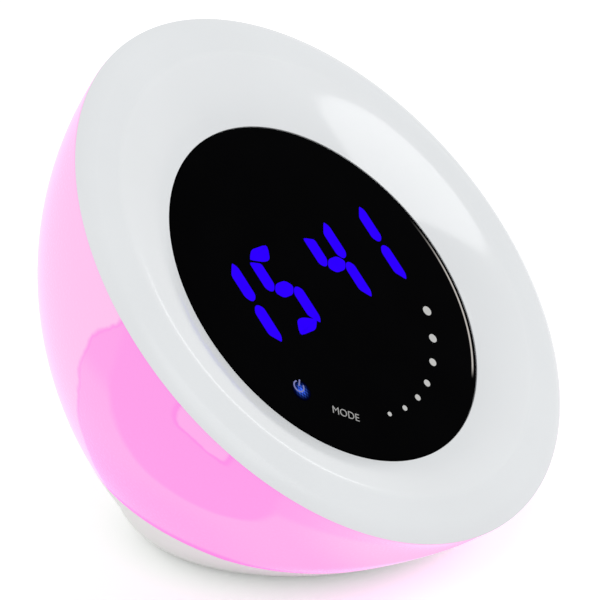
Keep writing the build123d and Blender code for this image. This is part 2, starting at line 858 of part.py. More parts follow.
with BuildPart() as speaker_basket:
    with BuildSketch(level(gasket_top)):
        with Locations((-speaker_offset, 0)):
            Circle(speaker_radius)
    extrude(amount=basket_height)
    with BuildSketch(level(gasket_top)):
        with Locations((-speaker_offset, 0)):
            Circle(speaker_radius - basket_wall)
    extrude(amount=basket_height - basket_wall, mode=Mode.SUBTRACT)
finish(speaker_basket.part, "speaker_basket")

with BuildPart() as speaker_magnet:
    with BuildSketch(level(basket_top)):
        with Locations((-speaker_offset, 0)):
            Circle(magnet_radius)
    extrude(amount=magnet_height)
finish(speaker_magnet.part, "speaker_magnet")

with BuildPart() as speaker_cone:
    with BuildSketch(Plane((-speaker_offset, 0, gasket_top), x_dir=(1, 0, 0), z_dir=(0, -1, 0))):
        with BuildLine():
            Polyline(
                (0, cone_rise - cone_thickness),
                (cone_hub, cone_rise - cone_thickness),
                (cone_radius, 0),
                (cone_radius, cone_thickness),
                (cone_hub, cone_rise),
                (0, cone_rise),
                close=True,
            )
        make_face()
    revolve(axis=Axis((-speaker_offset, 0, gasket_top), (0, 0, 1)))
finish(speaker_cone.part, "speaker_cone")

with BuildPart() as speaker_terminals:
    with BuildSketch(level(basket_top)):
        with Locations((-speaker_offset, terminal_reach)):
            with GridLocations(terminal_spread, 0, 2, 1):
                Circle(terminal_radius)
    extrude(amount=board_base - basket_top)
finish(speaker_terminals.part, "speaker_terminals")

# Main board on its posts and on the roof of the battery well
with BuildPart() as main_board:
    with BuildSketch(level(board_base)):
        with Locations((0, -main_board_lead)):
            Circle(main_board_radius)
        with PolarLocations(pad_reach, pad_count, pad_bearing):
            Circle(tray_boss_radius + free_fit, mode=Mode.SUBTRACT)
        with Locations(*board_post_places):
            Circle(board_screw_radius + slip_fit, mode=Mode.SUBTRACT)
    extrude(amount=board_thickness)
finish(main_board.part, "main_board")

with BuildPart() as board_screws:
    with BuildSketch(level(board_top)):
        with Locations(*board_post_places):
            Circle(board_screw_head_radius)
    extrude(amount=board_screw_head_height)
    with BuildSketch(level(board_top)):
        with Locations(*board_post_places):
            Circle(board_screw_radius)
    extrude(amount=easy_fit - board_thickness - board_screw_bite)
finish(board_screws.part, "board_screws")

with BuildPart() as control_chip:
    with BuildSketch(level(board_base)):
        with Locations((-chip_side, -chip_lead)):
            Rectangle(chip_size, chip_size)
    extrude(amount=-chip_height)
finish(control_chip.part, "control_chip")

with BuildPart() as filter_capacitors:
    with BuildSketch(level(board_base)):
        with Locations((0, capacitor_setback)):
            with GridLocations(2 * capacitor_side, 0, 2, 1):
                Circle(capacitor_radius)
    extrude(amount=-capacitor_height)
finish(filter_capacitors.part, "filter_capacitors")

with BuildPart() as clock_crystal:
    with BuildSketch(level(board_base)):
        with Locations((crystal_side, -front_post_lead)):
            SlotOverall(crystal_length, 2 * crystal_radius)
    extrude(amount=-2 * crystal_radius)
finish(clock_crystal.part, "clock_crystal")

with BuildPart() as main_connector:
    with BuildSketch(level(board_top)):
        with Locations((0, connector_setback)):
            Rectangle(connector_length, connector_width)
    extrude(amount=connector_height)
finish(main_connector.part, "main_connector")

with BuildPart() as light_header:
    with BuildSketch(level(board_top)):
        with Locations((-ring_middle, 0)):
            Rectangle(header_width, header_length)
    extrude(amount=tray_top - board_top)
finish(light_header.part, "light_header")

# Ribbon cable from the display board down to the main board
with BuildPart() as ribbon_cable:
    with BuildLine() as ribbon_path:
        FilletPolyline(ribbon_start, ribbon_corner, ribbon_end, radius=ribbon_bend)
    with BuildSketch(Plane(ribbon_start, x_dir=(1, 0, 0), z_dir=-face_normal)):
        Rectangle(ribbon_width, ribbon_thickness)
    sweep(path=ribbon_path.line)
finish(ribbon_cable.part, "ribbon_cable")

# Light tray: closes the base, clamps the bowl's flange and carries the colour lights
with BuildPart() as light_tray:
    with BuildSketch(seam_plane.offset(dome_flange)):
        Circle(tray_radius)
    extrude(amount=tray_thickness)
    with BuildSketch(level(post_top)):
        with PolarLocations(pad_reach, pad_count, pad_bearing):
            Circle(tray_boss_radius)
    extrude(amount=flange_top - post_top)
    with BuildSketch(level(post_top)):
        with PolarLocations(pad_reach, pad_count, pad_bearing):
            Circle(screw_radius + running_fit)
    extrude(amount=screw_bite + easy_fit, mode=Mode.SUBTRACT)
    with BuildSketch(level(flange_top)):
        with Locations((0, connector_setback)):
            Rectangle(connector_length + 2 * free_fit, connector_width + 2 * free_fit)
        with Locations((-ring_middle, 0)):
            Rectangle(header_width + 2 * easy_fit, header_length + 2 * easy_fit)
        with Locations(*board_post_places):
            Circle(board_screw_head_radius + free_fit)
        with PolarLocations(ring_middle, ring_screw_count, ring_screw_bearing):
            Circle(board_screw_radius + running_fit)
    extrude(amount=tray_thickness, mode=Mode.SUBTRACT)
finish(light_tray.part, "light_tray")

with BuildPart() as light_ring_board:
    with BuildSketch(level(tray_top)):
        Circle(ring_outer)
        Circle(ring_inner, mode=Mode.SUBTRACT)
        with PolarLocations(ring_middle, ring_screw_count, ring_screw_bearing):
            Circle(board_screw_radius + slip_fit, mode=Mode.SUBTRACT)
    extrude(amount=ring_thickness)
finish(light_ring_board.part, "light_ring_board")

with BuildPart() as colour_lights:
    with BuildSketch(level(ring_top)):
        with PolarLocations(ring_middle, colour_led_count):
            Rectangle(colour_led_size, colour_led_size)
    extrude(amount=colour_led_height)
finish(colour_lights.part, "colour_lights")

with BuildPart() as ring_screws:
    with BuildSketch(level(ring_top)):
        with PolarLocations(ring_middle, ring_screw_count, ring_screw_bearing):
            Circle(board_screw_head_radius)
    extrude(amount=board_screw_head_height)
    with BuildSketch(level(ring_top)):
        with PolarLocations(ring_middle, ring_screw_count, ring_screw_bearing):
            Circle(board_screw_radius)
    extrude(amount=-ring_thickness - tray_thickness)
finish(ring_screws.part, "ring_screws")

# Power inlet at the back of the base: socket body and its centre pin
with BuildPart() as power_inlet:
    with BuildSketch(jack_face):
        Rectangle(jack_width, jack_height)
    extrude(amount=-jack_length)
    with BuildSketch(jack_face):
        Circle(jack_nose_radius)
    extrude(amount=jack_nose_length)
    with BuildSketch(level(jack_top)):
        with Locations((0, jack_rear + jack_leg_length / 2)):
            Rectangle(jack_width, jack_leg_length)
    extrude(amount=board_base - jack_top)
    with BuildSketch(jack_face.offset(jack_nose_length)):
        Circle(jack_bore_radius)
    extrude(amount=-jack_bore_depth, mode=Mode.SUBTRACT)
finish(power_inlet.part, "power_inlet")

with BuildPart() as inlet_pin:
    with BuildSketch(jack_face.offset(jack_nose_length - jack_bore_depth)):
        Circle(jack_pin_radius)
    extrude(amount=jack_pin_length)
finish(inlet_pin.part, "inlet_pin")
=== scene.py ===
"""Looks of the mood lamp alarm clock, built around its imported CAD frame."""

import json
from math import cos, pi, radians, sin, sqrt

import bpy
from bpy.props import FloatProperty, FloatVectorProperty, PointerProperty
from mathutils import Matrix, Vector


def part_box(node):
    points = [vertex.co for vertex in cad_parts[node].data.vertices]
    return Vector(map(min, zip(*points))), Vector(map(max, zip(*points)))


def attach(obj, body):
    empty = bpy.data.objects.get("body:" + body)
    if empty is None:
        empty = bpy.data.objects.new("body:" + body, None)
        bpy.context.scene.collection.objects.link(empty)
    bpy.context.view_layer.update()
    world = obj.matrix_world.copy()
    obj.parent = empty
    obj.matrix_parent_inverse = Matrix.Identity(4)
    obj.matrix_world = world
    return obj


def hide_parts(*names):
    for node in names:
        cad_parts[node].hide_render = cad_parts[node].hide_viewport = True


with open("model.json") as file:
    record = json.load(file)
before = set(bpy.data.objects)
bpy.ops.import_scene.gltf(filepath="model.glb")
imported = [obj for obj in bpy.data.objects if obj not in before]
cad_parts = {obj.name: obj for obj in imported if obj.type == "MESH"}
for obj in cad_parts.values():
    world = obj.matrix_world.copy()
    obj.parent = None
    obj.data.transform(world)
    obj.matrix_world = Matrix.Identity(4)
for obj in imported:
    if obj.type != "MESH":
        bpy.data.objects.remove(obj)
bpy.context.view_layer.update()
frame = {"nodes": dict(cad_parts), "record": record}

bl_info = {
    "name": "Mood Lamp Alarm Clock",
    "version": (1, 0, 0),
    "blender": (4, 5, 0),
    "location": "View3D > Sidebar > Clock",
    "description": "Builds the looks of a glowing bowl lamp with a tilted clock face",
    "category": "Object",
}

mm = 0.001
weld = 0.001 * mm
black = (0.0, 0.0, 0.0, 1.0)
white = (1.0, 1.0, 1.0, 1.0)
round_corners = 160
bowl_steps = 26
skirt_steps = 8
bezel_steps = 16
mark_corner_steps = 4
dot_corners = 32
glow_corners = 48
sign_steps = 24
bowl_smooth = radians(40)
bezel_smooth = radians(30)
lens_smooth = radians(15)
mark_smooth = radians(30)
# Degrees from the lens's right to the slider's dots, the largest first.
slider_bearings = (-27.5, -41.4, -54.5, -67.7, -79.0, -90.2, -100.7)


def length(name, description, millimetres):
    metres = millimetres * mm
    return FloatProperty(name=name, description=description, default=metres, unit="LENGTH", precision=5)


def angle(name, description, degrees):
    return FloatProperty(name=name, description=description, default=radians(degrees), unit="ROTATION")


def amount(name, description, value):
    return FloatProperty(name=name, description=description, default=value, precision=4)


def power(name, description, watts):
    return FloatProperty(name=name, description=description, default=watts, unit="POWER", precision=4)


def pair(name, description, values, unit):
    return FloatVectorProperty(
        name=name, description=description, size=2, default=values, unit=unit, precision=5
    )


def lengths(name, description, first, second):
    return pair(name, description, (first * mm, second * mm), "LENGTH")


def arc(first, second):
    return radians(first), radians(second)


def angles(name, description, first, second):
    return pair(name, description, arc(first, second), "ROTATION")


def colour(name, description, red, green, blue):
    shown = (red, green, blue)
    return FloatVectorProperty(
        name=name, description=description, default=shown, subtype="COLOR", min=0.0, max=1.0
    )


class ClockSizes(bpy.types.PropertyGroup):
    """Driving sizes of the bowl, the bezel and the lens."""

    face_tilt: angle("Face tilt", "How far the face leans back from upright", 42.7)
    chin_gap: length("Chin gap", "Bowl's hinge line to the face's lowest point", 2.5)
    chin_run: length("Chin run", "Bowl's hinge line to the front of the seam", 4.6)
    back_radius: length("Back radius", "Radius of the bowl's back, seen from a side", 82.2)
    wall: length("Bowl wall", "Thickness of the glowing bowl", 2.4)
    seam_radius: length("Seam radius", "Radius of the level seam inside the lap", 44.596)
    seam_lead: length("Seam lead", "Centre of the level seam before the origin", 5.427)
    seam_height: length("Seam height", "Level seam above the table", 10.0)
    lap_tilt: angle("Lap tilt", "Slope of the seam that shows, down to the front", 14.2)
    lap_lead: length("Lap lead", "Crossing of the two seams before the origin", 11.73)
    lap_skin: length("Lap skin", "Thickness of the bowl's skirt over the base", 1.2)
    foot_radius: length("Foot radius", "Radius of the base at its foot", 32.9)
    foot_setback: length("Foot setback", "Centre of the foot behind the origin", 2.55)
    foot_lift: length("Foot lift", "Foot of the base above the table", 0.6)
    base_belly: length("Base belly", "Swell of the base wall from foot to seam", 1.0)
    crest_inset: length("Crest inset", "Rim of the face to the crest of the bezel", 9.6)
    crest_height: length("Crest height", "Crest of the bezel above the rim", 1.8)
    crest_round: length("Crest rounding", "Width of the soft line along the crest", 0.3)
    dish_swell: amount("Dish swell", "How much the dish steepens to the lens", 0.5)
    shoulder_inset: length("Shoulder inset", "Rim of the face to the end of its shoulder", 4.5)
    shoulder_height: length("Shoulder height", "End of the shoulder above the rim", 1.68)
    coat_start: length("Coat start", "From the lens to the start of the clear coat", 2.0)
    coat_full: length("Coat full", "From the lens to where that coat is full", 7.0)
    rim_groove: length("Rim groove", "Groove between the bezel and the bowl", 0.4)
    plug_depth: length("Plug depth", "How far the bezel reaches into the bowl", 3.4)
    plug_gap: length("Plug gap", "Room between the plug and the bowl wall", 1.0)
    lens_drop: length("Lens drop", "Lens centre below the face centre", 2.8)
    lens_recess: length("Lens recess", "Lens surface below the rim plane", 3.2)
    lens_thickness: length("Lens thickness", "Thickness of the dark lens", 2.8)
    lens_border: length("Lens border", "Lower dark border round the lens", 1.0)
    lens_step: length("Lens step", "Lens surface above its border", 0.3)
    lens_bevel: length("Lens bevel", "Width of the lens's bevelled edge", 0.3)
    lens_fit: length("Lens fit", "Room between the lens and its seat", 0.1)
    ledge_width: length("Ledge width", "Ledge under the lens edge", 3.1)
    ledge_drop: length("Ledge drop", "Lens surface down to the ledge", 3.0)
    ledge_thickness: length("Ledge thickness", "Thickness of that ledge", 1.4)
    collar_wall: length("Collar wall", "Wall of the collar round the lens", 4.4)


class ClockMarks(bpy.types.PropertyGroup):
    """Sizes of the lit digits and of the marks on the lens, with places from its centre."""

    lift: length("Digit lift", "Middle of the digits, upwards", 4.1)
    pitch: length("Digit pitch", "From one digit of a pair to the other", 14.3)
    pair_gap: length("Pair pitch", "From the second digit to the third", 20.0)
    first: length("First digit", "Right strokes of the first digit", -23.5)
    width: length("Digit width", "From left to right strokes of a digit", 7.1)
    slant: angle("Digit slant", "How far the digits lean to the right", 3.2)
    stroke: length("Stroke", "Width of an upright stroke", 3.1)
    level_stroke: length("Level stroke", "Width of a level stroke", 3.5)
    upright: length("Upright", "Length of an upright stroke", 9.1)
    short_upright: length("Short upright", "Length of an upright stroke below a level one", 7.5)
    level: length("Level", "Length of a level stroke at the top or the bottom", 7.7)
    middle: length("Middle", "Length of the level stroke in the middle", 6.3)
    stroke_round: length("Stroke rounding", "Rounding of an upright stroke's corners", 0.55)
    level_round: length("Level rounding", "Rounding of a level stroke's corners", 0.8)
    upright_lift: length("Upright lift", "Upright stroke from the digit's middle", 5.1)
    short_lift: length("Short upright lift", "Short upright stroke from the digit's middle", 4.4)
    level_lift: length("Level lift", "Top stroke from the digit's middle", 8.85)
    level_shift: length("Level shift", "Top stroke from the right strokes", -3.905)
    proud: length("Mark thickness", "Height of the marks above the lens", 0.12)
    glow_place: lengths("Power glow place", "Middle of the power glow", -27.0, -16.5)
    glow_radius: length("Power glow radius", "Radius of the power glow", 2.35)
    glow_pitch: lengths("Power glow pitch", "From one pinhole to the next, across and up", 0.8, 1.33333)
    power_place: lengths("Power sign place", "Middle of the power sign", -27.0, -15.5)
    power_radius: length("Power sign radius", "Radius of the power sign's open ring", 1.25)
    power_stroke: length("Power sign stroke", "Width of the power sign's lines", 0.33)
    power_bar: length("Power sign bar", "Length of the power sign's bar", 1.7)
    power_round: length("Power sign rounding", "Rounding of the bar's corners", 0.11)
    power_lift: length("Power sign lift", "Middle of the bar from the middle of the ring", 0.9375)
    power_turn: angle("Power sign turn", "Way the power sign's bar points, from level", 40.0)
    power_opening: angle("Power sign opening", "Gap in the power sign's ring", 86.0)
    label_place: lengths("Label place", "Middle of the label", -19.5, -25.2)
    label_turn: angle("Label turn", "Slope of the label", -38.4)
    letter: length("Letter size", "Type size of the label", 2.55)
    letter_thin: length("Letter thinning", "How much the label's strokes are drawn in", -0.04)
    slider_place: lengths("Slider place", "Middle of the slider's arc", -1.8, -0.28)
    slider_radius: length("Slider radius", "Radius of the arc of slider dots", 30.0)
    dot_first: length("Largest dot", "Radius of the largest slider dot", 1.14)
    dot_last: length("Smallest dot", "Radius of the smallest slider dot", 0.52)


class ClockLooks(bpy.types.PropertyGroup):
    """Colours of the pieces and of the marks."""

    bowl_pale: colour("Pale bowl", "Bowl far from its lights", 0.95, 0.52, 0.82)
    bowl_deep: colour("Deep bowl", "Bowl close to its lights", 0.95, 0.24, 0.76)
    bowl_body: colour("Bowl body", "Plastic of the bowl itself", 0.05, 0.035, 0.05)
    bezel: colour("Bezel", "Gloss white of the bezel", 0.725, 0.745, 0.76)
    lens: colour("Lens", "Near black of the lens", 0.0008, 0.0008, 0.001)
    # Painted highlight: the glint colour is a pale line on the lens's step that stands in for light on its
    # edge.
    painted_glint: colour("Glint", "Pale line at the lens's step", 0.5, 0.47, 0.44)
    base: colour("Base", "Pale satin of the base", 0.9, 0.94, 0.89)
    digits: colour("Digits", "Light of the digits", 0.026, 0.0, 1.0)
    glow: colour("Power glow", "Light of the power mark", 0.05, 0.15, 1.0)
    glow_dark: colour("Dark glow", "Power mark between its pinholes", 0.0, 0.0, 0.006)
    sign: colour("Power sign", "Print of the power sign over its glow", 0.18, 0.19, 0.4)
    ink: colour("Ink", "Pale print of the slider dots", 0.5, 0.5, 0.49)
    label: colour("Label", "Thinner print of the label", 0.33, 0.33, 0.3234)
    board_green: colour("Green board", "Coat of the green boards", 0.01, 0.09, 0.03)
    board_white: colour("White board", "Coat of the white boards", 0.5, 0.5, 0.48)


class ClockStage(bpy.types.PropertyGroup):
    """Floor, light and camera. Bearings run from the front to the right."""

    daylight: amount("Daylight", "Light from all round on the object", 0.78)
    paper: colour("Paper", "Pale paper of the floor", 0.93, 0.93, 0.93)
    floor_size: length("Floor size", "Side of the square of paper", 6000.0)
    floor_light: amount("Floor light", "How much the paper is whitened", 0.3)
    lamp_distance: length("Lamp distance", "From the face centre to the lamps", 1000.0)
    key_way: angles("Key way", "Bearing and rise of the soft light above", -56.0, 70.0)
    key_size: lengths("Key size", "Width and depth of the soft light above", 900.0, 900.0)
    key_power: power("Key power", "Power of the soft light above", 1.5)
    dish_way: angles("Dish way", "Bearing and rise of the light seen in the dish", 24.0, 38.0)
    dish_size: lengths("Dish size", "Width and depth of the light seen in the dish", 680.0, 400.0)
    dish_power: power("Dish power", "Power of the light seen in the dish", 1.7)
    crease_way: angles("Crease way", "Bearing and rise of the light seen along the crest", 82.0, 20.0)
    crease_size: lengths("Crease size", "Width and depth of the light seen along the crest", 60.0, 90.0)
    crease_power: power("Crease power", "Power of the light seen along the crest", 0.022)
    camera_way: angles("Camera way", "Bearing and rise of the camera", -56.49415, 18.38648)
    camera_distance: length("Camera distance", "From the face centre to the camera", 520.0)
    camera_lens: amount("Camera lens", "Focal length in millimetres", 146.3)
    camera_shift: pair("Camera shift", "Shift of the frame across and up", (-0.051, -0.049), "NONE")


class Wire:
    """A shader socket that can be used in Python sums."""

    def __init__(self, tree, socket=None):
        self.tree = tree
        self.socket = socket

    def make(self, kind, output, inputs, **settings):
        """Add a node, set or link its inputs and return one of its outputs."""
        node = self.tree.nodes.new(kind)
        for key, value in settings.items():
            setattr(node, key, value)
        for key, value in inputs.items():
            if isinstance(value, Wire):
                self.tree.links.new(value.socket, node.inputs[key])
            else:
                node.inputs[key].default_value = value
        return Wire(self.tree, node.outputs[output])

    def maths(self, operation, first, second=0.0):
        return self.make("ShaderNodeMath", 0, {0: first, 1: second}, operation=operation)

    def __add__(self, other):
        return self.maths("ADD", self, other)

    __radd__ = __add__

    def __sub__(self, other):
        return self.maths("SUBTRACT", self, other)

    def __rsub__(self, other):
        return self.maths("SUBTRACT", other, self)

    def __mul__(self, other):
        return self.maths("MULTIPLY", self, other)

    __rmul__ = __mul__

    def __truediv__(self, other):
        return self.maths("DIVIDE", self, other)

    def __rtruediv__(self, other):
        return self.maths("DIVIDE", other, self)

    def __pow__(self, other):
        return self.maths("POWER", self, other)

    def between(self, low, high):
        """A smooth step from 0 at low to 1 at high."""
        inputs = {"Value": self, "From Min": low, "From Max": high}
        return self.make("ShaderNodeMapRange", "Result", inputs, interpolation_type="SMOOTHSTEP")

    def mix(self, first, second):
        """Colour first where this is 0 and second where it is 1."""
        inputs = {"Factor": self, 6: first, 7: second}
        return self.make("ShaderNodeMix", 2, inputs, data_type="RGBA")

    def point(self):
        """The point in the object's own metres."""
        return self.make("ShaderNodeTexCoord", "Object", {})

    def place(self):
        """The x, y and z of that point."""
        point = self.point()
        return [self.make("ShaderNodeSeparateXYZ", axis, {0: point}) for axis in range(3)]

    def noise(self, scale, detail=3.0):
        """Noise around one half, with its scale per metre."""
        return self.make("ShaderNodeTexNoise", 0, {"Vector": self.point(), "Scale": scale, "Detail": detail})

    def seen(self):
        """1 for what the camera sees, also in a mirror or through glass, and 0 for light on the object."""
        rays = ("Is Camera Ray", "Is Glossy Ray", "Is Transmission Ray")
        camera, glossy, clear = [self.make("ShaderNodeLightPath", ray, {}) for ray in rays]
        return self.maths("MAXIMUM", self.maths("MAXIMUM", camera, glossy), clear)


def rgba(shown):
    return (shown[0], shown[1], shown[2], 1.0)


def shade(shown, share):
    return rgba([channel * share for channel in shown])


def toned(noise, shown, spread):
    """A colour that noise makes darker and lighter by a share."""
    return noise.mix(shade(shown, 1 - spread), shade(shown, 1 + spread))


def bump_of(wire, height, strength, distance):
    return wire.make("ShaderNodeBump", 0, {"Height": height, "Strength": strength, "Distance": distance})


def new_material(name):
    """An empty material with its wire, and a way to feed its shader."""
    material = bpy.data.materials.new(name)
    material.use_nodes = True
    tree = material.node_tree
    shader = tree.nodes["Principled BSDF"]

    def feed(**inputs):
        for key, value in inputs.items():
            socket = shader.inputs[key.replace("_", " ")]
            if isinstance(value, Wire):
                tree.links.new(value.socket, socket)
            else:
                socket.default_value = value

    return material, Wire(tree), feed


class Face:
    """Where the face, its lens and the base seam lie, from the frame and the driving sizes."""

    def __init__(self, sizes):
        low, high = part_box("dome_diffuser")
        lens_low, lens_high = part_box("display_lens")
        self.radius = (high.x - low.x) / 2
        self.lens_radius = (lens_high.x - lens_low.x) / 2
        self.turn = pi / 2 - sizes.face_tilt
        self.normal = Vector((0, -sin(self.turn), cos(self.turn)))
        self.up = Vector((0, cos(self.turn), sin(self.turn)))
        self.hinge = Vector((0, -sizes.seam_lead - sizes.seam_radius - sizes.chin_run, sizes.seam_height))
        self.centre = self.hinge + self.up * (sizes.chin_gap + self.radius)
        self.lens_centre = self.centre - self.up * sizes.lens_drop - self.normal * sizes.lens_recess
        self.lap_point = Vector((0, -sizes.lap_lead, sizes.seam_height))
        self.lap_normal = Vector((0, -sin(sizes.lap_tilt), cos(sizes.lap_tilt)))

    def ring(self, radius, height, drop=0.0):
        """A ring parallel to the face: its centre, its turn and its radius."""
        return self.centre + self.normal * height - self.up * drop, self.turn, radius

    def spread(self, wire, centre):
        """How far a point lies across and up the face from a centre on it, and away from it in all."""
        across, along, high = wire.place()
        right = across - centre.x
        up = (along - centre.y) * self.up.y + (high - centre.z) * self.up.z
        return right, up, (right * right + up * up) ** 0.5


class BowlLight:
    """Painted light and shade on the bowl: bearings from the chin to the back, and shares of the way from
    rim to seam.

    Of a pair of values, the first is where that part is gone and the second where it is full.
    """

    ripples_per_metre = 55.0
    edge = radians(98)
    edge_sweep = radians(20)
    edge_ripple = radians(10)
    edge_fade = arc(-0.6, 0.6)
    outline = arc(0.9, 0.2)
    outline_drop = (0.66, 0.5)
    front = arc(34, 56)
    rim = arc(28, 42)
    rim_drop = (0.34, 0.2)
    band = arc(60, 85)
    band_drop = (0.5, 0.75)
    core_bearing = radians(76)
    core_width = radians(20.5)
    core_depth = 0.57
    core_ripple = radians(8)
    core_fade = (1.12, 0.86)
    tab_bearing = radians(74)
    tab_width = radians(6.2)
    tab_depth = 0.1
    tab_ripple = 0.25
    tab_fade = (1.0, 0.9)
    tab_line_in = (0.84, 1.0)
    tab_line_out = (1.2, 1.02)
    seam = (1.9 * mm, 0.4 * mm)
    seam_side = arc(52, 84)
    seam_front = 0.25
    back = arc(118, 165)
    back_drop = (0.05, 0.95)
    patch_tone = 0.07
    front_tone = 0.35
    rim_tone = 0.2
    band_tone = 0.12
    core_tone = 0.3
    outline_tone = 0.26
    tab_tone = -0.26
    tab_line_tone = 0.2
    seam_tone = 0.6
    back_tone = 0.16
    back_low_tone = 0.34


def bowl_places(wire, sizes, face):
    """Share of the way from rim to seam, bearing from the chin and height above the sloping seam."""
    across, along, high = wire.place()
    ahead = along - face.hinge.y
    above = high - face.hinge.z
    share = 1 - wire.maths("ARCTAN2", above, ahead) / face.turn
    reach = (ahead * ahead + above * above) ** 0.5
    face_reach = sizes.chin_gap + face.radius
    seam_reach = sizes.chin_run + sizes.seam_radius
    middle = face_reach + (seam_reach - face_reach) / 2 * share * (1 + share)
    bearing = wire.maths("ARCTAN2", wire.maths("ABSOLUTE", across), middle - reach)
    lap_y, lap_z = face.lap_point.yz
    over_seam = (along - lap_y) * face.lap_normal.y + (high - lap_z) * face.lap_normal.z
    return share, bearing, over_seam


def bowl_tone(wire, share, bearing, over_seam):
    """How deep the colour is, as painted light and shade: the lit patch with its core and tab, the seam line
    and the back.
    """
    light = BowlLight
    ripple = wire.noise(light.ripples_per_metre, detail=5.0) - 0.5
    edge = light.edge + light.edge_sweep * share + light.edge_ripple * ripple
    patch = (edge - bearing).between(*light.edge_fade)
    outline = wire.maths("ABSOLUTE", bearing - edge).between(*light.outline)
    outline = outline * share.between(*light.outline_drop)
    front = bearing.between(*light.front)
    rim = bearing.between(*light.rim) * share.between(*light.rim_drop)
    band = bearing.between(*light.band) * share.between(*light.band_drop)
    core_side = (bearing + light.core_ripple * ripple - light.core_bearing) / light.core_width
    core_down = share / light.core_depth
    core = (core_side * core_side + core_down**4).between(*light.core_fade)
    tab_side = (bearing - light.tab_bearing) / light.tab_width
    tab_down = (share + light.tab_ripple * ripple) / light.tab_depth
    tab = (tab_side**4 + tab_down**4) ** 0.25
    tab_line = tab.between(*light.tab_line_in) * tab.between(*light.tab_line_out)
    seam_line = light.seam_front + (1 - light.seam_front) * bearing.between(*light.seam_side)
    seam_line = seam_line * over_seam.between(*light.seam)
    back = light.back_tone + light.back_low_tone * share.between(*light.back_drop)
    tone = light.patch_tone + light.front_tone * front + light.band_tone * band
    tone = patch * (tone + light.rim_tone * rim * (1 - core)) + light.core_tone * core
    tone = tone + bearing.between(*light.back) * back
    tone = tone + light.tab_tone * tab.between(*light.tab_fade) + light.tab_line_tone * tab_line
    return tone + light.seam_tone * seam_line + light.outline_tone * outline


def bowl_material(looks, sizes, face):
    """Milky plastic lit from inside, its light and shade painted by place: deepest in a patch at each side
    and at the back of the seam.
    """
    material, wire, feed = new_material("lit_bowl")
    tone = bowl_tone(wire, *bowl_places(wire, sizes, face))
    fine = wire.noise(1500.0, detail=2.0)
    feed(Base_Color=toned(fine, looks.bowl_body, spread=0.04))
    feed(Roughness=0.24 + 0.06 * fine, Specular_IOR_Level=0.02)
    # Painted light and shade: the deep and pale places of the glow are painted into the emission by place.
    feed(Emission_Color=tone.mix(rgba(looks.bowl_pale), rgba(looks.bowl_deep)), Emission_Strength=1.0)
    return material


def bezel_material(looks, sizes, face):
    """White plastic with a fine orange peel, its dish clear-coated but for a band at the lens's left."""
    material, wire, feed = new_material("gloss_white")
    across, _, away = face.spread(wire, face.centre)
    inside = face.radius - sizes.crest_inset - away
    beside = face.spread(wire, face.lens_centre)[2] - face.lens_radius
    left = across.between(face.lens_radius / 2, 0.0)
    bare = left * beside.between(sizes.coat_full, sizes.coat_start)
    coated = inside.between(-sizes.crest_round, sizes.crest_round) * (1 - bare)
    broad = wire.noise(25.0, detail=2.0)
    peel = wire.noise(2200.0, detail=2.0)
    feed(Base_Color=toned(broad.between(0.3, 0.7), looks.bezel, spread=0.015))
    feed(Roughness=0.16 + 0.05 * broad, Specular_IOR_Level=0.15)
    feed(Coat_Weight=0.85 * coated, Coat_Roughness=0.08)
    feed(Normal=bump_of(wire, peel, strength=0.02, distance=0.05 * mm))
    return material


class PaintedLensGlint:
    """Painted highlight at the lens's step, a pale line: where it is gone and full, outwards and by bearing
    from the right.
    """

    inner = (-0.62 * mm, -0.4 * mm)
    outer = (0.05 * mm, -0.1 * mm)
    top = arc(10, -16)
    low = arc(-53, -47)


def lens_material(looks, sizes, face):
    """Smoked acrylic, black over the dark display, with a painted highlight as a pale line at one side."""
    material, wire, feed = new_material("smoked_lens")
    across, up, away = face.spread(wire, face.lens_centre)
    past_step = away - (face.lens_radius - sizes.lens_border)
    bearing = wire.maths("ARCTAN2", up, across)
    # Painted highlight: the pale line is drawn into the base colour on the right side only.
    painted_glint = past_step.between(*PaintedLensGlint.inner) * past_step.between(*PaintedLensGlint.outer)
    painted_glint = painted_glint * bearing.between(*PaintedLensGlint.top) * bearing.between(*PaintedLensGlint.low)
    broad = wire.noise(60.0, detail=2.0)
    feed(Base_Color=painted_glint.mix(toned(broad, looks.lens, spread=0.5), rgba(looks.painted_glint)))
    feed(Roughness=0.04 + 0.04 * broad, Specular_IOR_Level=0.003)
    return material


def lit_material(name, shown, spread):
    """A mark that shows by its own light, a little uneven as ink or a diffuser is."""
    material, wire, feed = new_material(name)
    uneven = wire.noise(400.0, detail=2.0).between(0.25, 0.75)
    feed(Base_Color=shade(shown, 0.1), Roughness=0.6, Specular_IOR_Level=0.0)
    feed(Emission_Color=uneven.mix(shade(shown, 1 - spread), rgba(shown)), Emission_Strength=1.0)
    return material


class PowerGlow:
    """Light of the power mark, in shares of its radius and of its full light."""

    reach = (0.0, 0.9)
    fall = 1.4
    hole = (-0.4, 0.6)
    between_holes = 0.2
    heart = (0.36, 0.08)
    heart_light = 0.45


def glow_material(looks, marks, face):
    """Blue light through fine pinholes, brightest in the middle of the power mark."""
    material, wire, feed = new_material("power_glow")
    across, up = marks.glow_place
    centre = face.lens_centre + face.up * up + Vector((across, 0, 0))
    right, up, away = face.spread(wire, centre)
    away = away / marks.glow_radius
    column_turn, row_turn = [2 * pi / pitch for pitch in marks.glow_pitch]
    holes = wire.maths("SINE", right * column_turn) * wire.maths("SINE", up * row_turn)
    holes = PowerGlow.between_holes + (1 - PowerGlow.between_holes) * holes.between(*PowerGlow.hole)
    light = (1 - away).between(*PowerGlow.reach) ** PowerGlow.fall * holes
    light = light + away.between(*PowerGlow.heart) * PowerGlow.heart_light
    feed(Base_Color=shade(looks.glow_dark, 1 / 3), Roughness=0.5, Specular_IOR_Level=0.0)
    feed(Emission_Color=light.mix(rgba(looks.glow_dark), rgba(looks.glow)), Emission_Strength=1.0)
    return material


